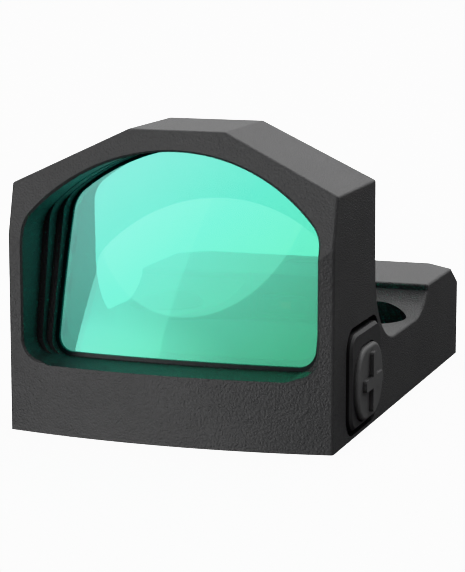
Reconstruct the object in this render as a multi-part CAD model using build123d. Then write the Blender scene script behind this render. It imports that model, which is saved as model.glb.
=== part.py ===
from build123d import *
import os
from math import hypot

# Compact reflex red dot sight. Millimetres, +Z up, the window faces -Y.
# Origin: middle of the underside. Lengths along Y are "stations": the distance
# behind the housing's front side corners.

os.makedirs("parts", exist_ok=True)

# Housing envelope
WIDTH = 24.0
LENGTH = 37.9
HEIGHT = 21.7
FRONT_BULGE = 1.22  # how far the front face bows forward in plan
CORNER_Y = -LENGTH / 2 + FRONT_BULGE
REAR = LENGTH - FRONT_BULGE  # station of the rear face
LEAN = 0.258  # rearward lean of the upper front face, per mm of height
LEAN_START_Z = 14.3  # where the leaning face passes the side corners
SHOULDER_Z = 17.7
CROWN_HALF = 3.56
EDGE = 0.22  # broken edges

# Trough and rear deck
FLOOR_Z = 5.4
DECK_Z = 7.5
HOOD_REAR_TOP = 10.5
HOOD_REAR_LOW = (10.73, 11.1)
FLOOR_FROM, FLOOR_TO = 16.4, 22.6
RAMP_MID = (24.8, 5.85)
DECK_FROM = 26.4
RAMP_END_Z = 7.0
REAR_FACET = (2.53, 2.3, 1.37)  # corner cut along X, Y and Z

# Window, stepped frame and lens
ARCH_R = 14.0
WINDOW_HALF, WINDOW_SILL, WINDOW_TOP = 10.85, 5.25, 20.2
STEP_INSET = 0.45
LENS_HALF, LENS_SILL, LENS_TOP = 9.95, 5.0, 20.1
TUNNEL_HALF, TUNNEL_TOP = 9.5, 19.75
HOOD_FOOT_Z = 7.2  # where the hood node stands on the sill node
DECK_NODE_FROM = 18.4  # where the sill node ends and the deck node starts
LENS_TILT = 0.36  # rearward lean per mm of height
LENS_FOOT = (3.1, 5.1)  # station and height of the lens face's lower edge
LENS_R = 80.0
FRONT_GLASS, CEMENT, REAR_GLASS = 0.7, 0.03, 0.6
GLASS = FRONT_GLASS + CEMENT + REAR_GLASS
BOND_GAP = 0.05
WINDOW_BEVEL = 0.15

# Base: plate, gasket, battery, mounting
PLATE_T, GASKET_T = 0.5, 0.2
RECESS_Z = PLATE_T + GASKET_T
PLATE_HALF, PLATE_FROM, PLATE_TO, PLATE_R = 10.45, 1.0, 35.4, 2.0
BATTERY_S, BATTERY_R, BATTERY_H = 11.8, 10.0, 3.2
BATTERY_ROOM_R, BATTERY_ROOF_Z = 10.15, 3.9
MOUNT_X, MOUNT_S, MOUNT_R, MOUNT_RELIEF_R = 8.3, 22.4, 1.65, 2.0
HEAD_ROOM_R, HEAD_ROOM_Z = 2.9, 2.2
PIN_R, PIN_DEPTH = 0.95, HEAD_ROOM_Z
PIN_PLACES = [(6.5, 2.15), (9.0, 28.8)]
COVER_SCREW_PLACES = [(9.0, 2.6), (9.0, 33.6)]
COVER_SCREW_R, COVER_HEAD_R, COVER_SCREW_L = 0.65, 1.15, 3.0

# Brightness buttons, drawn on the +X side
PAD_S, PAD_Z, PAD_Y_SIZE, PAD_Z_SIZE, PAD_CORNER = 7.35, 4.15, 7.7, 6.9, 1.3
GROOVE = 0.4
PAD_FACE_X, PAD_SHELF_X, PAD_FLOOR_X = 12.3, 11.4, 10.7
KEY_Z, KEY_Y_SIZE, KEY_Z_SIZE, KEY_CORNER = 3.75, 6.5, 5.3, 2.4
KEY_FACE_X, KEY_GAP, KEY_FLANGE = 12.64, 0.08, 0.3
SIGN_H, SIGN_LONG, SIGN_W = 0.3, 4.3, 0.85
SWITCH_X0, SWITCH_X1, SWITCH_Y_SIZE, SWITCH_Z_SIZE = 9.45, 9.8, 2.0, 2.4
PLUNGER_X, PLUNGER_R = 10.3, 0.8

# Emitter mechanism in the rear deck
BAY_FROM, BAY_TO, BAY_HALF, BAY_FLOOR_Z, BAY_ROOF_Z = 27.4, 35.4, 5.1, 2.2, 5.9
POCKET_REAR = 26.9
SCREW_HEAD_R, SCREW_SHANK_R, SCREW_ROOT_R, FIT_GAP = 1.75, 1.05, 0.75, 0.05
HEAD_T, HEAD_TO_CLIP, CLIP_T, CLIP_R = 0.45, 1.6, 0.3, 1.45
ELEVATION_S, ELEVATION_TOP_Z, ELEVATION_THREAD = 33.3, 7.45, 3.05
WINDAGE_S, WINDAGE_Z, WINDAGE_OUT_X, WINDAGE_THREAD = 29.0, 4.25, -11.95, 4.4
THREAD_R = 1.0


def station(distance):
    """Y of a place given as a distance behind the front side corners."""
    return CORNER_Y + distance


def block(x0, x1, s0, s1, z0, z1):
    """Box between two X, two stations and two heights."""
    middle = ((x0 + x1) / 2, station((s0 + s1) / 2), (z0 + z1) / 2)
    return Pos(*middle) * Box(x1 - x0, s1 - s0, z1 - z0)


def upright(x, s, z0, z1, r):
    """Cylinder along Z."""
    return Pos(x, station(s), (z0 + z1) / 2) * Cylinder(r, z1 - z0)


def crosswise(s, z, x0, x1, r):
    """Cylinder along X."""
    return Pos((x0 + x1) / 2, station(s), z) * Rot(0, 90, 0) * Cylinder(r, x1 - x0)


def both_sides(shape):
    """A shape and its mirror image across the middle plane."""
    return shape + mirror(shape, about=Plane.YZ)


def half_space(point, normal):
    """Everything on the side of a plane that its normal points to."""
    sides = (Align.CENTER, Align.CENTER, Align.MIN)
    return Plane(origin=point, z_dir=normal) * Box(120, 120, 60, align=sides)


def arch_prism(half, sill, top, y0, y1, low_r=1.7, high_r=2.2):
    """Round-headed window outline drawn in XZ, run from one Y to another."""
    outline = Pos(0, (sill + top) / 2) * Rectangle(2 * half, top - sill)
    outline &= Pos(0, top - ARCH_R) * Circle(ARCH_R)
    outline = fillet(outline.vertices().group_by(Axis.Y)[0], low_r)
    outline = fillet(outline.vertices().sort_by(Axis.Y)[-2:], high_r)
    face = Plane.XZ.offset(-y0) * outline
    return extrude(face, amount=y1 - y0, dir=(0, 1, 0))


def side_prism(s, z, y_size, z_size, corner, x0, x1):
    """Rounded rectangle drawn on the +X side, run from one X to another."""
    outline = Pos(station(s), z) * RectangleRounded(y_size, z_size, corner)
    return extrude(Plane.YZ.offset(x0) * outline, amount=x1 - x0)


def lens_normal():
    """Unit vector from the lens towards the rear, square to its tilt."""
    size = hypot(1, LENS_TILT)
    return Vector(0, 1 / size, -LENS_TILT / size)


def lens_ball(depth):
    """Ball behind a glass surface that lies this far behind the front one."""
    middle_z = (LENS_SILL + LENS_TOP) / 2
    foot_s, foot_z = LENS_FOOT
    middle = Vector(0, station(foot_s + (middle_z - foot_z) * LENS_TILT), middle_z)
    sagitta = LENS_HALF**2 / (2 * LENS_R)
    centre = middle + lens_normal() * (LENS_R - sagitta)
    return Pos(*centre) * Sphere(LENS_R - depth)


def stepped_window():
    """Space in front of the lens: window, two anti-glare steps and lens seat."""
    far_front, far_back = station(-5), station(12)
    foot_s, foot_z = LENS_FOOT
    space = arch_prism(LENS_HALF, LENS_SILL, LENS_TOP, far_front, far_back, 1.4)
    space -= lens_ball(GLASS + BOND_GAP)
    steps = [
        (WINDOW_HALF, WINDOW_SILL, WINDOW_TOP, 1.95, 0.19),
        (WINDOW_HALF - STEP_INSET, LENS_SILL + 0.12, LENS_TOP + 0.05, 2.55, 0.275),
    ]
    for half, sill, top, start, tilt in steps:
        step = arch_prism(half, sill, top, far_front, far_back, 1.5)
        space += step - half_space((0, station(start), foot_z), (0, 1, -tilt))
    return space


def outer_body():
    """Solid outside shape: bowed base, leaning hood, trough and rear deck."""
    lean_foot_z = LEAN_START_Z - FRONT_BULGE / LEAN
    lean_top = (HEIGHT - LEAN_START_Z) * LEAN

    def point(s, z):
        return (0, station(s), z)

    profile = Polyline(
        point(FLOOR_TO, FLOOR_Z),
        point(FLOOR_FROM, FLOOR_Z),
    )
    low_s, low_z = HOOD_REAR_LOW
    down = (0, low_s - HOOD_REAR_TOP, low_z - HEIGHT)
    profile += TangentArc(point(low_s, low_z), point(FLOOR_FROM, FLOOR_Z), tangent=down)
    profile += Polyline(
        point(*HOOD_REAR_LOW),
        point(HOOD_REAR_TOP, HEIGHT),
        point(lean_top, HEIGHT),
        point(-FRONT_BULGE, lean_foot_z),
        point(-FRONT_BULGE, 0),
        point(REAR, 0),
        point(REAR, DECK_Z),
        point(DECK_FROM, DECK_Z),
        point(DECK_FROM, RAMP_END_Z),
    )
    profile += ThreePointArc(
        point(DECK_FROM, RAMP_END_Z), point(*RAMP_MID), point(FLOOR_TO, FLOOR_Z)
    )
    body = extrude(make_face(profile), amount=WIDTH / 2, both=True)

    half = WIDTH / 2
    plan = ThreePointArc((-half, station(0)), (0, station(-FRONT_BULGE)), (half, station(0)))
    plan += Polyline(
        (half, station(0)),
        (half, station(REAR)),
        (-half, station(REAR)),
        (-half, station(0)),
    )
    body &= extrude(make_face(plan), amount=HEIGHT)

    outline = Polyline(
        (-half, 0),
        (half, 0),
        (half, SHOULDER_Z),
        (CROWN_HALF, HEIGHT),
        (-CROWN_HALF, HEIGHT),
        (-half, SHOULDER_Z),
        close=True,
    )
    body &= extrude(Plane.XZ * make_face(outline), amount=LENGTH, both=True)

    cut_x, cut_y, cut_z = REAR_FACET
    corner = (half - cut_x, station(REAR), DECK_Z)
    facet = half_space(corner, (1 / cut_x, 1 / cut_y, 1 / cut_z))
    return body - both_sides(facet)


def emitter_pocket():
    """Flared pocket in the trough floor that lets the emitter see the lens."""
    plan = Polyline(
        (-6.14, station(15.66)),
        (6.14, station(15.66)),
        (3.97, station(24.0)),
        (2.75, station(POCKET_REAR)),
        (-2.75, station(POCKET_REAR)),
        (-3.97, station(24.0)),
        close=True,
    )
    pocket = extrude(make_face(plan), amount=DECK_Z + 1)
    floor_start = (0, station(16.0), FLOOR_Z)
    return pocket & half_space(floor_start, (0, 0.156, 1))


def wall_fit(shape, places, r, z0, z1):
    """Cut the same upright hole at each place and its mirror image."""
    for x, s in places:
        for side in (-1, 1):
            shape -= upright(side * x, s, z0, z1, r)
    return shape


def plate_outline(grow, z0, z1):
    """Rounded rectangle of the base plate, grown all round."""
    middle = station((PLATE_FROM + PLATE_TO) / 2)
    size = (2 * (PLATE_HALF + grow), PLATE_TO - PLATE_FROM + 2 * grow)
    face = Pos(0, middle, z0) * RectangleRounded(*size, PLATE_R + grow)
    return extrude(face, amount=z1 - z0)


def base_rooms(z0):
    """Rooms that open downwards: battery, wire passage, switches, board."""
    rooms = upright(0, BATTERY_S, z0, BATTERY_ROOF_Z, BATTERY_ROOM_R)
    rooms += block(-1.5, 1.5, 21.0, 25.6, z0, 2.6)
    rooms += block(-7.6, 7.6, 25.4, 35.2, z0, BAY_FLOOR_Z)
    low, high = PAD_S - SWITCH_Y_SIZE / 2 - 0.05, PAD_S + SWITCH_Y_SIZE / 2 + 0.05
    rooms += both_sides(block(SWITCH_X0 - 0.05, SWITCH_X1 + 0.05, low, high, z0, 5.1))
    return rooms


def outside_edges(body):
    """Sharp outer edges above the trough floor, without the folds inside a face."""
    folds = (HOOD_REAR_LOW[1], RAMP_END_Z)
    edges = []
    for edge in body.edges():
        middle = edge.center()
        is_fold = edge.length > WIDTH - 1 and round(middle.Z, 3) in folds
        if middle.Z > FLOOR_Z + 0.6 and edge.geom_type != GeomType.ELLIPSE and not is_fold:
            edges.append(edge)
    return edges


def window_rim(body):
    """Edges where the window meets the front face."""
    rim = []
    for edge in body.edges():
        middle, box = edge.center(), edge.bounding_box()
        inside = box.max.X < WINDOW_HALF + 0.01 and box.min.X > -WINDOW_HALF - 0.01
        forward = box.min.Y < station(1.6) and box.max.Y < station(1.7)
        if inside and forward and WINDOW_SILL - 0.01 < middle.Z < WINDOW_TOP + 0.01:
            rim.append(edge)
    return rim


def make_housing():
    """Machined housing with every pocket that the other pieces sit in."""
    body = outer_body()
    body = fillet(outside_edges(body), EDGE)
    body -= stepped_window()
    body = chamfer(window_rim(body), WINDOW_BEVEL)
    body -= arch_prism(TUNNEL_HALF, FLOOR_Z, TUNNEL_TOP, station(4), station(16.2), 1.5)
    body -= emitter_pocket()
    body = wall_fit(body, [(MOUNT_X, MOUNT_S)], MOUNT_R, -1, HEAD_ROOM_Z)
    body = wall_fit(body, [(MOUNT_X, MOUNT_S)], HEAD_ROOM_R, HEAD_ROOM_Z, DECK_Z + 1)
    body = wall_fit(body, PIN_PLACES, PIN_R, -1, PIN_DEPTH)
    body = wall_fit(body, COVER_SCREW_PLACES, COVER_SCREW_R, -1, COVER_SCREW_L)
    body = wall_fit(body, [(6.4, 33.9)], 0.5, 2, 3.6)
    body -= plate_outline(0.05, -1, RECESS_Z)
    body -= base_rooms(RECESS_Z - 0.1)
    body -= both_sides(button_room())
    body -= emitter_rooms()
    return body


def housing_nodes(body):
    """Cut the one-piece housing into base, sill, deck and hood."""
    far = LENGTH + 5
    base = block(-WIDTH, WIDTH, -5, far, -1, HEAD_ROOM_Z)
    hood = block(-WIDTH, WIDTH, -5, FLOOR_FROM, HOOD_FOOT_Z, HEIGHT + 5)
    deck = block(-WIDTH, WIDTH, DECK_NODE_FROM, far, HEAD_ROOM_Z, HEIGHT + 5)
    return {
        "housing_base": body & base,
        "housing_sill": body - base - hood - deck,
        "housing_deck": body & deck,
        "housing_hood": body & hood,
    }


def button_room():
    """Stepped pocket for one rubber pad, with the hole for its plunger."""
    grow = 2 * GROOVE
    room = side_prism(
        PAD_S, PAD_Z, PAD_Y_SIZE + grow, PAD_Z_SIZE + grow, PAD_CORNER + GROOVE,
        PAD_FLOOR_X, WIDTH / 2 + 1,
    )
    return room + crosswise(PAD_S, KEY_Z, SWITCH_X1, PAD_FLOOR_X + 0.1, PLUNGER_R + 0.15)


def emitter_rooms():
    """Bay of the emitter mechanism, its window and the two screw bores."""
    rooms = block(-BAY_HALF, BAY_HALF, BAY_FROM, BAY_TO, BAY_FLOOR_Z - 0.1, BAY_ROOF_Z)
    arm_end = WINDAGE_OUT_X + HEAD_TO_CLIP - FIT_GAP
    rooms += block(arm_end, -BAY_HALF + 0.1, 27.45, 30.55, 2.6, BAY_ROOF_Z)
    rooms += block(-1.8, 1.8, POCKET_REAR - 0.5, BAY_FROM + 0.1, 4.2, 5.8)
    rooms += block(-2.3, 2.3, POCKET_REAR - 0.5, POCKET_REAR + 0.3, 3.95, 6.1)
    shank, head = SCREW_SHANK_R + FIT_GAP, SCREW_HEAD_R + FIT_GAP
    rooms += upright(0, ELEVATION_S, BAY_ROOF_Z - 0.1, DECK_Z, shank)
    rooms += upright(0, ELEVATION_S, ELEVATION_TOP_Z - HEAD_T - 0.4, DECK_Z + 1, head)
    rooms += crosswise(WINDAGE_S, WINDAGE_Z, -WIDTH / 2, -10.2, shank)
    seat_x = WINDAGE_OUT_X + HEAD_T + 0.4
    rooms += crosswise(WINDAGE_S, WINDAGE_Z, -WIDTH / 2 - 1, seat_x, head)
    return rooms


def make_lens(near, far):
    """One glass element between two concentric surfaces, inside the bond gap."""
    glass = arch_prism(
        LENS_HALF - BOND_GAP, LENS_SILL + BOND_GAP, LENS_TOP - BOND_GAP,
        station(0), station(12), 1.35, 2.15,
    )
    return (glass & lens_ball(near)) - lens_ball(far)


def make_lens_seal():
    """Bead of black sealant that covers the lens's edge all round."""
    bead = arch_prism(LENS_HALF, LENS_SILL, LENS_TOP, station(0), station(12), 1.4)
    bead -= arch_prism(
        LENS_HALF - 0.28, LENS_SILL + 0.28, LENS_TOP - 0.28, station(0), station(12), 1.15, 1.95
    )
    return (bead & lens_ball(-0.22)) - lens_ball(0)


def make_pad():
    """Rubber surround: a flange on the pocket's shelf and a raised face."""
    grow = 2 * GROOVE - 0.04
    pad = side_prism(
        PAD_S, PAD_Z, PAD_Y_SIZE + grow, PAD_Z_SIZE + grow, PAD_CORNER + GROOVE,
        PAD_FLOOR_X, PAD_SHELF_X,
    )
    face = side_prism(
        PAD_S, PAD_Z, PAD_Y_SIZE, PAD_Z_SIZE, PAD_CORNER, PAD_SHELF_X - 0.1, PAD_FACE_X
    )
    pad += chamfer(face.edges().group_by(Axis.X)[-1], 0.2)
    hole, room = 2 * KEY_GAP, 2 * KEY_FLANGE + 0.2
    pad -= side_prism(
        PAD_S, KEY_Z, KEY_Y_SIZE + hole, KEY_Z_SIZE + hole, KEY_CORNER + KEY_GAP,
        PAD_FLOOR_X - 1, PAD_FACE_X + 1,
    )
    pad -= side_prism(
        PAD_S, KEY_Z, KEY_Y_SIZE + room, KEY_Z_SIZE + room, KEY_CORNER + KEY_FLANGE,
        PAD_FLOOR_X - 1, PAD_SHELF_X + 0.05,
    )
    return pad


def make_key(upright_bar):
    """Rubber key with its sign, a hidden flange and a plunger for the switch."""
    key = side_prism(
        PAD_S, KEY_Z, KEY_Y_SIZE, KEY_Z_SIZE, KEY_CORNER, PAD_SHELF_X - 0.3, KEY_FACE_X
    )
    key = fillet(key.edges().group_by(Axis.X)[-1], 0.25)
    grow = 2 * KEY_FLANGE
    key += side_prism(
        PAD_S, KEY_Z, KEY_Y_SIZE + grow, KEY_Z_SIZE + grow, KEY_CORNER + KEY_FLANGE,
        PAD_SHELF_X - 0.35, PAD_SHELF_X,
    )
    key += crosswise(PAD_S, KEY_Z, PLUNGER_X, PAD_SHELF_X - 0.3, PLUNGER_R)
    bars = [(SIGN_LONG, SIGN_W)]
    if upright_bar:
        bars.append((SIGN_W, SIGN_LONG))
    for y_size, z_size in bars:
        key += side_prism(
            PAD_S, KEY_Z, y_size, z_size, 0.2, KEY_FACE_X - 0.1, KEY_FACE_X + SIGN_H
        )
    return key


def make_switch():
    """Snap-dome switch: flat case with a round metal dome facing the plunger."""
    low, high = PAD_S - SWITCH_Y_SIZE / 2, PAD_S + SWITCH_Y_SIZE / 2
    z0 = KEY_Z - SWITCH_Z_SIZE / 2
    case = block(SWITCH_X0, SWITCH_X1, low, high, z0, z0 + SWITCH_Z_SIZE)
    return case + crosswise(PAD_S, KEY_Z, SWITCH_X1 - 0.1, SWITCH_X1 + 0.13, PLUNGER_R)


def make_adjuster(thread_length):
    """Slotted adjuster screw, head upwards with its top at the local origin."""
    screw = Pos(0, 0, -HEAD_T / 2) * Cylinder(SCREW_HEAD_R, HEAD_T)
    screw = chamfer(screw.edges().group_by(Axis.Z)[-1], 0.12)
    screw -= Pos(0, 0, 0) * (Cylinder(1.28, 0.16) - Cylinder(1.12, 0.16))
    screw -= Box(2.3, 0.5, 0.5)
    spans = [
        (HEAD_T, HEAD_TO_CLIP, SCREW_SHANK_R),
        (HEAD_TO_CLIP, HEAD_TO_CLIP + CLIP_T + 0.05, SCREW_ROOT_R),
        (HEAD_TO_CLIP + CLIP_T + 0.05, HEAD_TO_CLIP + CLIP_T + 0.05 + thread_length, THREAD_R),
    ]
    for start, end, r in spans:
        screw += Pos(0, 0, -(start + end) / 2) * Cylinder(r, end - start)
    return screw


def make_clip():
    """Retaining clip for an adjuster's groove, open on one side."""
    clip = Cylinder(CLIP_R, CLIP_T) - Cylinder(SCREW_ROOT_R + 0.02, CLIP_T)
    clip -= Pos(0, -CLIP_R, 0) * Box(1.0, 2 * CLIP_R - 0.4, CLIP_T)
    return Pos(0, 0, -HEAD_TO_CLIP - 0.02 - CLIP_T / 2) * clip


def make_oring():
    """Seal between an adjuster's head and its seat."""
    return Pos(0, 0, -HEAD_T - 0.2) * Torus(1.42, 0.18)


def at_elevation(shape):
    """Stand a piece of the elevation adjuster in place."""
    return Pos(0, station(ELEVATION_S), ELEVATION_TOP_Z) * shape


def at_windage(shape):
    """Lay a piece of the windage adjuster in place, head towards -X."""
    place = Plane(
        origin=(WINDAGE_OUT_X, station(WINDAGE_S), WINDAGE_Z), x_dir=(0, 0, 1), z_dir=(-1, 0, 0)
    )
    return place * shape


def make_spring(length, turns):
    """Compression spring standing on the local origin."""
    wire = 0.08
    pitch = (length - 2 * wire) / turns
    path = Pos(0, 0, wire) * Helix(pitch=pitch, height=length - 2 * wire, radius=0.37)
    start = Plane(origin=path @ 0, z_dir=path % 0)
    return sweep(start * Circle(wire), path=path, is_frenet=True)


def make_elevation_nut():
    """Sliding nut on the elevation thread, with a tongue that guides the block."""
    nut = block(-3.0, 3.0, 31.9, 35.0, 2.8, 5.0)
    nut += block(-2.6, 2.6, 30.2, 32.0, 3.75, 4.75)
    nut -= upright(0, ELEVATION_S, 2, 6, THREAD_R + 0.04)
    for side in (-1, 1):
        nut -= upright(side * 2.1, ELEVATION_S, 3.6, 6, 0.6)
    return nut


def make_windage_nut():
    """Sliding nut on the windage thread, with a T head in the block's slot."""
    nut = block(-8.0, -5.0, WINDAGE_S - 1.25, WINDAGE_S + 1.25, 2.95, 5.55)
    nut += block(-5.1, -2.4, WINDAGE_S - 0.45, WINDAGE_S + 0.45, 3.3, 5.2)
    nut += block(-2.5, -1.6, WINDAGE_S - 0.85, WINDAGE_S + 0.85, 3.3, 5.2)
    return nut - crosswise(WINDAGE_S, WINDAGE_Z, -9, -5.15, THREAD_R + 0.04)


def make_emitter_block():
    """Carrier of the light source: T slot, tongue groove and spring pocket."""
    carrier = block(-3.2, 3.2, 27.7, 31.6, 3.0, 5.5)
    carrier -= block(-4, 4, 30.1, 32, 3.7, 4.8)
    carrier -= block(-2.55, -1.55, WINDAGE_S - 0.9, WINDAGE_S + 0.9, 2, 6)
    carrier -= block(-4, -2.4, WINDAGE_S - 0.5, WINDAGE_S + 0.5, 2, 6)
    return carrier - crosswise(WINDAGE_S, WINDAGE_Z, 2.0, 4, 0.8)


def make_base_plate():
    """Stamped cover under the battery and board, with countersunk holes."""
    plate = plate_outline(0, 0, PLATE_T)
    plate = wall_fit(plate, [(MOUNT_X, MOUNT_S)], MOUNT_RELIEF_R, -1, 1)
    plate = wall_fit(plate, PIN_PLACES, PIN_R, -1, 1)
    for x, s in COVER_SCREW_PLACES:
        plate -= both_sides(Pos(x, station(s), PLATE_T / 2) * cover_head(0.03))
    return plate


def cover_head(grow):
    """Countersunk head of a cover screw, centred on the plate's thickness."""
    return Cone(COVER_HEAD_R + grow, COVER_SCREW_R + grow, PLATE_T)


def make_base_gasket():
    """Die-cut sealing sheet between the plate and the housing."""
    sheet = plate_outline(0, PLATE_T, RECESS_Z)
    sheet = wall_fit(sheet, [(MOUNT_X, MOUNT_S)], MOUNT_RELIEF_R, 0, 1)
    sheet = wall_fit(sheet, PIN_PLACES, PIN_R, 0, 1)
    sheet = wall_fit(sheet, COVER_SCREW_PLACES, COVER_SCREW_R + 0.05, 0, 1)
    return sheet - base_rooms(0)


def make_cover_screws():
    """Four countersunk screws that hold the base plate."""
    screws = Part()
    for x, s in COVER_SCREW_PLACES:
        for side in (-1, 1):
            screw = Pos(0, 0, PLATE_T / 2) * cover_head(0)
            screw += Pos(0, 0, COVER_SCREW_L / 2) * Cylinder(COVER_SCREW_R - 0.02, COVER_SCREW_L - 0.3)
            screw -= Box(1.5, 0.3, 0.4)
            screws += Pos(side * x, station(s), 0) * screw
    return screws


def make_battery():
    """Coin cell, 20 mm by 3.2 mm: wide can below, narrower cap above."""
    cell = upright(0, BATTERY_S, PLATE_T, PLATE_T + BATTERY_H - 0.25, BATTERY_R)
    return cell + upright(0, BATTERY_S, PLATE_T + 2, PLATE_T + BATTERY_H, BATTERY_R - 1.1)


def make_negative_contact():
    """Flat spring disc under the battery room's roof, with its tail."""
    contact = upright(0, BATTERY_S, 3.72, 3.88, 3.5)
    return contact + block(-0.8, 0.8, BATTERY_S, 21.6, 3.72, 3.88)


def make_positive_contact():
    """Leaf that presses on the battery's side, with its foot on the board."""
    leaf = block(-1.2, 1.2, 21.82, 21.97, 0.8, 2.3)
    return leaf + block(-0.6, 0.6, 21.9, 26.2, 1.45, 1.6)


def make_switch_flex():
    """Two printed strips along the battery room's wall, switch to board."""
    ring = upright(0, BATTERY_S, 1.9, 3.3, BATTERY_R + 0.12)
    ring -= upright(0, BATTERY_S, 1.9, 3.3, BATTERY_R + 0.03)
    from_s = PAD_S + SWITCH_Y_SIZE / 2
    return both_sides(ring & block(1.4, 12, from_s, 23, 1.9, 3.3))


def make_circuit_board():
    """Rear circuit board, notched for the two board screws."""
    board = block(-7.3, 7.3, 25.7, 34.9, 1.6, BAY_FLOOR_Z)
    return wall_fit(board, [(6.4, 33.9)], 0.52, 1, 3)


def make_board_components():
    """Small parts under the board: coil, capacitors, resistors, light sensor."""
    sizes = [
        (-4.6, 28.0, 2.4, 2.0, 0.8),
        (-4.6, 31.2, 1.2, 0.8, 0.5),
        (-2.4, 31.2, 1.2, 0.8, 0.5),
        (-0.2, 32.6, 1.6, 0.8, 0.6),
        (5.4, 31.4, 1.0, 0.5, 0.35),
        (-1.6, 28.2, 1.0, 0.5, 0.35),
    ]
    parts = Part()
    for x, s, x_size, y_size, height in sizes:
        x0, s0 = x - x_size / 2, s - y_size / 2
        parts += block(x0, x0 + x_size, s0, s0 + y_size, 1.6 - height, 1.6)
    return parts


def make_board_screws():
    """Two pan-head screws that hold the board up against its ledge."""
    screw = Pos(0, 0, 1.35) * Cylinder(0.9, 0.5) + Pos(0, 0, 2.45) * Cylinder(0.48, 1.9)
    screw -= Pos(0, 0, 1.1) * Box(1.3, 0.25, 0.4)
    return both_sides(Pos(6.4, station(33.9), 0) * screw)


plus_pad, plus_switch = make_pad(), make_switch()
elevation_spring = Pos(2.1, station(ELEVATION_S), 3.6) * make_spring(2.3, 5)
windage_axis = Plane(
    origin=(2.0, station(WINDAGE_S), WINDAGE_Z), x_dir=(0, 0, 1), z_dir=(1, 0, 0)
)

PARTS = {
    **housing_nodes(make_housing()),
    "lens_front_element": make_lens(0, FRONT_GLASS),
    "lens_rear_element": make_lens(FRONT_GLASS + CEMENT, GLASS),
    "lens_seal": make_lens_seal(),
    "emitter_window": block(-2.25, 2.25, POCKET_REAR, POCKET_REAR + 0.3, 4.0, 6.05),
    "emitter_block": make_emitter_block(),
    "led_chip": block(-0.4, 0.4, 27.45, 27.7, 4.65, 5.15),
    "elevation_screw": at_elevation(make_adjuster(ELEVATION_THREAD)),
    "elevation_clip": at_elevation(make_clip()),
    "elevation_oring": at_elevation(make_oring()),
    "elevation_nut": make_elevation_nut(),
    "elevation_springs": both_sides(elevation_spring),
    "windage_screw": at_windage(make_adjuster(WINDAGE_THREAD)),
    "windage_clip": at_windage(make_clip()),
    "windage_oring": at_windage(make_oring()),
    "windage_nut": make_windage_nut(),
    "windage_spring": windage_axis * make_spring(BAY_HALF - 2.0, 6),
    "plus_pad": plus_pad,
    "plus_key": make_key(True),
    "minus_pad": mirror(plus_pad, about=Plane.YZ),
    "minus_key": mirror(make_key(False), about=Plane.YZ),
    "plus_switch": plus_switch,
    "minus_switch": mirror(plus_switch, about=Plane.YZ),
    "switch_flex": make_switch_flex(),
    "circuit_board": make_circuit_board(),
    "microcontroller": block(1.7, 4.7, 27.6, 30.6, 1.0, 1.6),
    "board_components": make_board_components(),
    "board_screws": make_board_screws(),
    "battery": make_battery(),
    "negative_contact": make_negative_contact(),
    "positive_contact": make_positive_contact(),
    "base_gasket": make_base_gasket(),
    "base_plate": make_base_plate(),
    "cover_screws": make_cover_screws(),
}

for name, shape in PARTS.items():
    export_step(shape, f"parts/{name}.step")
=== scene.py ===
import bpy
import math
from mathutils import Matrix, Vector


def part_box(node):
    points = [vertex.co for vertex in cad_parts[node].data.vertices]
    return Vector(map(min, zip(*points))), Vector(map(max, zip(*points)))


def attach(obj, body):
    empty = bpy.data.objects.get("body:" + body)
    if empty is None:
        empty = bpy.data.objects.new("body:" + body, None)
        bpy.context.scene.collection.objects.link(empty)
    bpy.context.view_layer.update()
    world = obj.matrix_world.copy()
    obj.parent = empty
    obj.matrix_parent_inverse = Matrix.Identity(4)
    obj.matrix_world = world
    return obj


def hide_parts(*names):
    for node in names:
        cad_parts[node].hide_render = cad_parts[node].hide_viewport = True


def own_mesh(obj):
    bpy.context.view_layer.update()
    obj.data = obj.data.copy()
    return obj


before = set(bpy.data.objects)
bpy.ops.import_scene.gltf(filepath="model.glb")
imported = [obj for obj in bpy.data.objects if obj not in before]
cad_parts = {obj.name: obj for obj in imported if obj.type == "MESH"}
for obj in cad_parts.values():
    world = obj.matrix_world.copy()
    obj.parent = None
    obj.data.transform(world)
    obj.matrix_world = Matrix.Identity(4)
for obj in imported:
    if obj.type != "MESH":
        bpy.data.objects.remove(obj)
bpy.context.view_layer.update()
bpy.ops.object.select_all(action="DESELECT")

# --- Camera -------------------------------------------------------------------
# A long lens a little above the sight and to its plus-key side, looking at the
# window. It stands in for a product shot taken from about 165 mm away.
LOOK_AT = Vector((0.00067, -0.00573, 0.00913))
AZIMUTH, ELEVATION, DISTANCE = 18.8, 10.0, 0.1655
LENS_MM, SENSOR_MM, CLIP_START = 140.5, 36.0, 0.001


def toward(azimuth, elevation):
    """Unit vector from the sight to a place seen at these angles, 0 being -Y."""
    around, up = math.radians(azimuth), math.radians(elevation)
    return Vector((math.sin(around) * math.cos(up), -math.cos(around) * math.cos(up), math.sin(up)))


view_data = bpy.data.cameras.new("view")
view_data.lens = LENS_MM
view_data.sensor_width = SENSOR_MM
view_data.clip_start = CLIP_START
view = bpy.data.objects.new("view", view_data)
bpy.context.collection.objects.link(view)
view.location = LOOK_AT + toward(AZIMUTH, ELEVATION) * DISTANCE
view.rotation_euler = (LOOK_AT - view.location).to_track_quat("-Z", "Y").to_euler()
bpy.context.scene.camera = view

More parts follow.
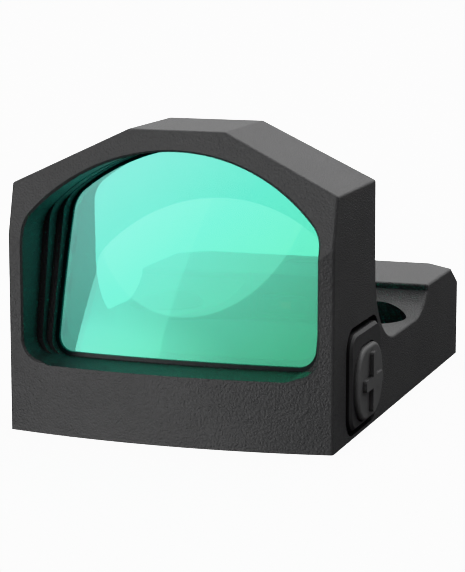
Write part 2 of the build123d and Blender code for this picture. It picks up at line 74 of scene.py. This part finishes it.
# --- Floor --------------------------------------------------------------------
# A wide sheet of matte white studio card that the sight stands on. It glows so as
# to read as white, and diffuse and glossy rays don't see it, so it lights nothing.
FLOOR_SIZE, FLOOR_GLOW = 3.0, 1.8
bpy.ops.mesh.primitive_plane_add(size=FLOOR_SIZE, location=(0, 0, 0))
floor = bpy.context.active_object
floor.name = "studio_floor"
floor.visible_diffuse = False
floor.visible_glossy = False
card = bpy.data.materials.new("white_card")
card.use_nodes = True
card_shader = card.node_tree.nodes["Principled BSDF"]
card_shader.inputs["Base Color"].default_value = (0.93, 0.93, 0.93, 1)
card_shader.inputs["Roughness"].default_value = 0.9
card_shader.inputs["Specular IOR Level"].default_value = 0.1
card_shader.inputs["Emission Color"].default_value = (1, 1, 1, 1)
card_shader.inputs["Emission Strength"].default_value = FLOOR_GLOW
floor.data.materials.append(card)

# --- Studio light -------------------------------------------------------------
# A dim room with four soft patches: overhead and behind, in front high for the
# tilted lens to mirror, in front low, and right. Three soft boxes: two show in the
# lens, one lights the top from behind.
room = bpy.data.worlds.new("soft_room")
room.use_nodes = True
sky = room.node_tree
sight_line = sky.nodes.new("ShaderNodeTexCoord").outputs["Generated"]


def sky_patch(azimuth, elevation, inner, outer, strength):
    """Round patch of even light in the room, fading from inner to outer degrees."""
    lean = sky.nodes.new("ShaderNodeVectorMath")
    lean.operation = "DOT_PRODUCT"
    sky.links.new(sight_line, lean.inputs[0])
    lean.inputs[1].default_value = toward(azimuth, elevation)
    fade = sky.nodes.new("ShaderNodeMapRange")
    fade.interpolation_type = "SMOOTHSTEP"
    fade.inputs["From Min"].default_value = math.cos(math.radians(outer))
    fade.inputs["From Max"].default_value = math.cos(math.radians(inner))
    fade.inputs["To Max"].default_value = strength
    sky.links.new(lean.outputs["Value"], fade.inputs["Value"])
    return fade.outputs["Result"]


ROOM_DIM = 0.05
patches = [
    sky_patch(190, 52, 28, 70, 1.05),
    sky_patch(-21, 34, 28, 50, 0.75),
    sky_patch(-30, -12, 10, 34, 2.6),
    sky_patch(80, 8, 25, 80, 0.5),
]
total = None
for patch in patches:
    adder = sky.nodes.new("ShaderNodeMath")
    adder.operation = "ADD"
    adder.inputs[1].default_value = ROOM_DIM
    sky.links.new(patch, adder.inputs[0])
    if total:
        sky.links.new(total, adder.inputs[1])
    total = adder.outputs[0]
sky.links.new(total, sky.nodes["Background"].inputs["Strength"])
sky.nodes["Background"].inputs["Color"].default_value = (1, 1, 1, 1)
bpy.context.scene.world = room
bpy.context.scene.view_settings.view_transform = "Khronos PBR Neutral"


def soft_box(name, azimuth, elevation, distance, size, radiance, shape="RECTANGLE"):
    """Area light at an angle round the sight, aimed at it, with the stated radiance."""
    data = bpy.data.lights.new(name, "AREA")
    data.shape = shape
    data.size, data.size_y = size
    face = math.pi / 4 if shape == "ELLIPSE" else 1.0
    data.energy = radiance * math.pi * size[0] * size[1] * face
    lamp = bpy.data.objects.new(name, data)
    bpy.context.collection.objects.link(lamp)
    aim = Vector((0, 0, 0.01))
    lamp.location = aim + toward(azimuth, elevation) * distance
    lamp.rotation_euler = (aim - lamp.location).to_track_quat("-Z", "Y").to_euler()


soft_box("round_box", -23, 35, 0.6, (0.30, 0.34), 0.55, "ELLIPSE")
soft_box("tall_box", -35, 24, 0.9, (0.36, 0.62), 0.35)
soft_box("overhead_box", 170, 62, 0.9, (0.8, 0.5), 2.2)

# --- Housing ------------------------------------------------------------------
# One block of aluminium alloy, milled, blasted and black anodised. The front
# face has a coarser pebbled blast than the sides, top and deck.
def new_material(name):
    """Empty node material with its Principled shader."""
    made = bpy.data.materials.new(name)
    made.use_nodes = True
    return made, made.node_tree, made.node_tree.nodes["Principled BSDF"]


def wear(name, material):
    """Put one material on every slot of a CAD node."""
    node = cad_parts[name]
    if not node.data.materials:
        node.data.materials.append(material)
    for index in range(len(node.data.materials)):
        node.data.materials[index] = material


MOTTLE_SIZE = 0.004


def blast_grain_group():
    """Grain of a blasted or moulded skin: a height and a light and dark mottle."""
    group = bpy.data.node_groups.new("blast_grain", "ShaderNodeTree")
    for label, value in (("Grain Size", 0.0003), ("Front Size", 0.0003), ("Mottle Size", MOTTLE_SIZE)):
        socket = group.interface.new_socket(label, in_out="INPUT", socket_type="NodeSocketFloat")
        socket.default_value = value
    for label in ("Height", "Mottle"):
        group.interface.new_socket(label, in_out="OUTPUT", socket_type="NodeSocketFloat")
    nodes, links = group.nodes, group.links
    entry, leave = nodes.new("NodeGroupInput"), nodes.new("NodeGroupOutput")
    place = nodes.new("ShaderNodeTexCoord")
    made = {}
    for label in ("Grain Size", "Front Size", "Mottle Size"):
        scale = nodes.new("ShaderNodeMath")
        scale.operation = "DIVIDE"
        scale.inputs[0].default_value = 1.0
        links.new(entry.outputs[label], scale.inputs[1])
        noise = nodes.new("ShaderNodeTexNoise")
        noise.inputs["Detail"].default_value = 2.0
        links.new(place.outputs["Object"], noise.inputs["Vector"])
        links.new(scale.outputs[0], noise.inputs["Scale"])
        made[label] = noise.outputs["Fac"]
    facing = nodes.new("ShaderNodeSeparateXYZ")
    links.new(place.outputs["Normal"], facing.inputs["Vector"])
    front = nodes.new("ShaderNodeMapRange")
    front.inputs["From Min"].default_value = -0.8
    front.inputs["From Max"].default_value = -0.95
    links.new(facing.outputs["Y"], front.inputs["Value"])
    pick = nodes.new("ShaderNodeMix")
    links.new(front.outputs["Result"], pick.inputs["Factor"])
    links.new(made["Grain Size"], pick.inputs["A"])
    links.new(made["Front Size"], pick.inputs["B"])
    links.new(pick.outputs["Result"], leave.inputs["Height"])
    links.new(made["Mottle Size"], leave.inputs["Mottle"])
    return group


grain_group = blast_grain_group()


def grained(name, dark, light, roughness, grain, bump, front_grain=None, metallic=0.0):
    """Skin of two close tones mottled together, with a fine grain in relief."""
    made, tree, shader = new_material(name)
    grain_node = tree.nodes.new("ShaderNodeGroup")
    grain_node.node_tree = grain_group
    grain_node.inputs["Grain Size"].default_value = grain
    grain_node.inputs["Front Size"].default_value = front_grain or grain
    grain_node.inputs["Mottle Size"].default_value = MOTTLE_SIZE
    tone = tree.nodes.new("ShaderNodeMix")
    tone.data_type = "RGBA"
    tone.inputs["A"].default_value = (*dark, 1)
    tone.inputs["B"].default_value = (*light, 1)
    tree.links.new(grain_node.outputs["Mottle"], tone.inputs["Factor"])
    tree.links.new(tone.outputs["Result"], shader.inputs["Base Color"])
    relief = tree.nodes.new("ShaderNodeBump")
    relief.inputs["Strength"].default_value = 1.0
    relief.inputs["Distance"].default_value = bump
    tree.links.new(grain_node.outputs["Height"], relief.inputs["Height"])
    tree.links.new(relief.outputs["Normal"], shader.inputs["Normal"])
    shader.inputs["Roughness"].default_value = roughness
    shader.inputs["Metallic"].default_value = metallic
    return made


anodised = grained(
    "black_anodised", (0.062, 0.062, 0.063), (0.078, 0.078, 0.079), 0.48, 0.00011, 0.00006, 0.00015
)
for part in ("housing_base", "housing_sill", "housing_deck", "housing_hood"):
    wear(part, anodised)

# --- Lens ---------------------------------------------------------------------
# Two thin concentric glass shells cemented together. The front one carries the
# blue-green reflecting coat, its colour painted paler and given a painted glow
# towards its upper left as a painted reflection; a bead of black sealant holds their edge.
glass_with_painted_glow, tree, shader = new_material("coated_glass_painted_glow")
shader.inputs["Metallic"].default_value = 0.25
shader.inputs["Roughness"].default_value = 0.02
shader.inputs["IOR"].default_value = 1.5
shader.inputs["Transmission Weight"].default_value = 0.68
# Painted glow: the coated glass emits its own pale green light, though it is no lamp.
shader.inputs["Emission Color"].default_value = (0.50, 0.80, 0.78, 1)
across = tree.nodes.new("ShaderNodeVectorMath")
across.operation = "DOT_PRODUCT"
across.inputs[1].default_value = (-30.0, 0, 40.0)
tree.links.new(tree.nodes.new("ShaderNodeTexCoord").outputs["Object"], across.inputs[0])
# Coat colour: blue-green, turning paler towards the upper left as a painted reflection of a round soft
# light.
coat_tint_and_painted_reflection = tree.nodes.new("ShaderNodeValToRGB")
coat_tint_and_painted_reflection.color_ramp.elements[0].color = (0.09, 0.78, 0.44, 1)
coat_tint_and_painted_reflection.color_ramp.elements[1].color = (0.26, 0.86, 0.76, 1)
middle = coat_tint_and_painted_reflection.color_ramp.elements.new(0.55)
middle.color = (0.10, 0.80, 0.62, 1)
tree.links.new(across.outputs["Value"], coat_tint_and_painted_reflection.inputs["Fac"])
# Painted glow strength, rising towards the upper left together with the painted reflection.
painted_glow_strength = tree.nodes.new("ShaderNodeMapRange")
painted_glow_strength.inputs["To Min"].default_value = 0.085
painted_glow_strength.inputs["To Max"].default_value = 0.28
tree.links.new(across.outputs["Value"], painted_glow_strength.inputs["Value"])
tree.links.new(painted_glow_strength.outputs["Result"], shader.inputs["Emission Strength"])
tree.links.new(coat_tint_and_painted_reflection.outputs["Color"], shader.inputs["Base Color"])
wear("lens_front_element", glass_with_painted_glow)
clear, tree, shader = new_material("clear_glass")
shader.inputs["Base Color"].default_value = (0.9, 1.0, 0.97, 1)
shader.inputs["Roughness"].default_value = 0.01
shader.inputs["IOR"].default_value = 1.5
shader.inputs["Transmission Weight"].default_value = 1.0
wear("lens_rear_element", clear)
sealant = grained(
    "black_sealant", (0.004, 0.010, 0.010), (0.008, 0.016, 0.016), 0.3, 0.0004, 0.00001
)
wear("lens_seal", sealant)

# --- Emitter ------------------------------------------------------------------
# A moulded carrier holds a tiny red chip behind a flat glass window at the rear
# of the pocket. The carrier slides in the deck's bay.
wear("emitter_window", clear)
carrier = grained("black_nylon", (0.012, 0.012, 0.013), (0.02, 0.02, 0.021), 0.42, 0.0002, 0.000006)
wear("emitter_block", carrier)
chip_red, tree, shader = new_material("red_emitter")
shader.inputs["Base Color"].default_value = (0.55, 0.03, 0.02, 1)
shader.inputs["Roughness"].default_value = 0.2
shader.inputs["Emission Color"].default_value = (1.0, 0.05, 0.02, 1)
shader.inputs["Emission Strength"].default_value = 1.0
wear("led_chip", chip_red)

# --- Adjusters ----------------------------------------------------------------
# Slotted steel screws, blackened, for height and side. Each turns in a brass nut
# with a spring clip and a rubber ring; springs take up the play.
black_steel = grained(
    "black_oxide_steel", (0.05, 0.05, 0.052), (0.09, 0.09, 0.093), 0.34, 0.0003, 0.000003, metallic=0.85
)
spring_steel = grained(
    "spring_steel", (0.50, 0.50, 0.50), (0.64, 0.64, 0.65), 0.26, 0.0004, 0.000001, metallic=1.0
)
brass = grained(
    "turned_brass", (0.55, 0.36, 0.12), (0.68, 0.47, 0.18), 0.3, 0.0003, 0.000002, metallic=1.0
)
nitrile = grained("nitrile_rubber", (0.010, 0.010, 0.010), (0.018, 0.018, 0.018), 0.5, 0.0002, 0.000003)
for axis_name in ("elevation", "windage"):
    wear(axis_name + "_screw", black_steel)
    wear(axis_name + "_clip", spring_steel)
    wear(axis_name + "_nut", brass)
    wear(axis_name + "_oring", nitrile)


# --- Springs ------------------------------------------------------------------
# Wound steel coils of 0.16 mm wire, two in the height nut's pockets and one beside
# the emitter's carrier.
WIRE_RADIUS, COIL_RADIUS, COIL_REACH = 0.00008, 0.00037, 0.00045


def wound_coil(name, foot, turn, length, turns):
    """One helical spring of round wire that stands on foot, with closed wire ends."""
    bpy.ops.object.select_all(action="DESELECT")
    bpy.ops.mesh.primitive_circle_add(
        vertices=12,
        radius=WIRE_RADIUS,
        location=(COIL_RADIUS, 0, WIRE_RADIUS),
        rotation=(math.pi / 2, 0, 0),
    )
    coil = bpy.context.object
    coil.name = name
    bpy.ops.object.transform_apply(location=True, rotation=True, scale=True)
    bpy.ops.object.modifier_add(type="SCREW")
    winding = coil.modifiers[0]
    winding.axis = "Z"
    winding.iterations = turns
    winding.screw_offset = (length - 2 * WIRE_RADIUS) / turns
    winding.steps = winding.render_steps = 24
    winding.use_normal_calculate = True
    bpy.ops.object.modifier_apply(modifier=winding.name)
    bpy.ops.object.mode_set(mode="EDIT")
    bpy.ops.mesh.select_all(action="SELECT")
    bpy.ops.mesh.fill_holes(sides=0)
    bpy.ops.mesh.select_all(action="SELECT")
    bpy.ops.mesh.normals_make_consistent(inside=False)
    bpy.ops.object.mode_set(mode="OBJECT")
    bpy.ops.object.shade_smooth_by_angle(angle=math.radians(50))
    coil.rotation_euler = turn
    coil.location = foot
    bpy.ops.object.transform_apply(location=True, rotation=True, scale=True)
    coil.data.materials.append(spring_steel)
    return coil


low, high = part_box("elevation_springs")
pair_y = (low[1] + high[1]) / 2
height = high[2] - low[2]
left = wound_coil("elevation_coil", (low[0] + COIL_REACH, pair_y, low[2]), (0, 0, 0), height, 5)
right = wound_coil("second_coil", (high[0] - COIL_REACH, pair_y, low[2]), (0, 0, 0), height, 5)
bpy.ops.object.select_all(action="DESELECT")
left.select_set(True)
right.select_set(True)
bpy.context.view_layer.objects.active = left
bpy.ops.object.join()
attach(left, "sight_body")
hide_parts("elevation_springs")
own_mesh(left)
low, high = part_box("windage_spring")
middle = ((low[1] + high[1]) / 2, (low[2] + high[2]) / 2)
single = wound_coil("windage_coil", (low[0], *middle), (0, math.pi / 2, 0), high[0] - low[0], 6)
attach(single, "sight_body")
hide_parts("windage_spring")
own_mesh(single)

# --- Brightness keys ----------------------------------------------------------
# Moulded silicone: a flat octagonal pad glued in each side pocket and a raised
# oval key with its sign in relief, plus on the right and minus on the left.
silicone = grained(
    "black_silicone", (0.11, 0.11, 0.111), (0.125, 0.125, 0.126), 0.5, 0.00015, 0.000004
)
pad_rubber = grained(
    "pad_silicone", (0.055, 0.055, 0.056), (0.068, 0.068, 0.069), 0.55, 0.00015, 0.000004
)
for side in ("plus", "minus"):
    wear(side + "_key", silicone)
    wear(side + "_pad", pad_rubber)

# --- Switches and flex --------------------------------------------------------
# A metal dome switch stands behind each key, soldered to an amber film that runs
# round the cell to the board.
plated = grained(
    "plated_steel", (0.52, 0.52, 0.53), (0.66, 0.66, 0.67), 0.28, 0.0004, 0.000001, metallic=1.0
)
wear("plus_switch", plated)
wear("minus_switch", plated)
amber = grained("amber_film", (0.42, 0.16, 0.02), (0.52, 0.22, 0.03), 0.3, 0.001, 0.000002)
wear("switch_flex", amber)

# --- Board --------------------------------------------------------------------
# Green glass-epoxy board under the deck's bay with the controller, a coil and a
# few small parts on its lower face, held by two little screws.
solder_mask = grained(
    "green_solder_mask", (0.008, 0.085, 0.035), (0.015, 0.12, 0.05), 0.32, 0.0003, 0.000003
)
wear("circuit_board", solder_mask)
moulded_epoxy = grained(
    "moulded_epoxy", (0.018, 0.018, 0.02), (0.028, 0.028, 0.03), 0.5, 0.0001, 0.000004
)
wear("microcontroller", moulded_epoxy)
ceramic = grained("fired_ceramic", (0.32, 0.22, 0.13), (0.42, 0.30, 0.19), 0.45, 0.0002, 0.000004)
wear("board_components", ceramic)
wear("board_screws", black_steel)

# --- Cell and contacts --------------------------------------------------------
# A 20 mm coin cell of nickel-plated steel, with gilt leaf contacts at its top
# and edge.
cell_can = grained(
    "nickel_plate", (0.60, 0.60, 0.60), (0.72, 0.72, 0.71), 0.24, 0.0006, 0.000002, metallic=1.0
)
wear("battery", cell_can)
gilt = grained(
    "gold_plate", (0.75, 0.50, 0.16), (0.85, 0.60, 0.22), 0.25, 0.0004, 0.000001, metallic=1.0
)
wear("negative_contact", gilt)
wear("positive_contact", gilt)

# --- Base plate ---------------------------------------------------------------
# Black anodised sheet over a die-cut rubber gasket, held by four countersunk
# screws. It closes the cell and board rooms.
die_cut = grained(
    "die_cut_rubber", (0.014, 0.014, 0.015), (0.022, 0.022, 0.023), 0.6, 0.0002, 0.000005
)
wear("base_gasket", die_cut)
sheet = grained("satin_anodised_sheet", (0.02, 0.02, 0.021), (0.03, 0.03, 0.031), 0.4, 0.0001, 0.000003)
wear("base_plate", sheet)
wear("cover_screws", black_steel)
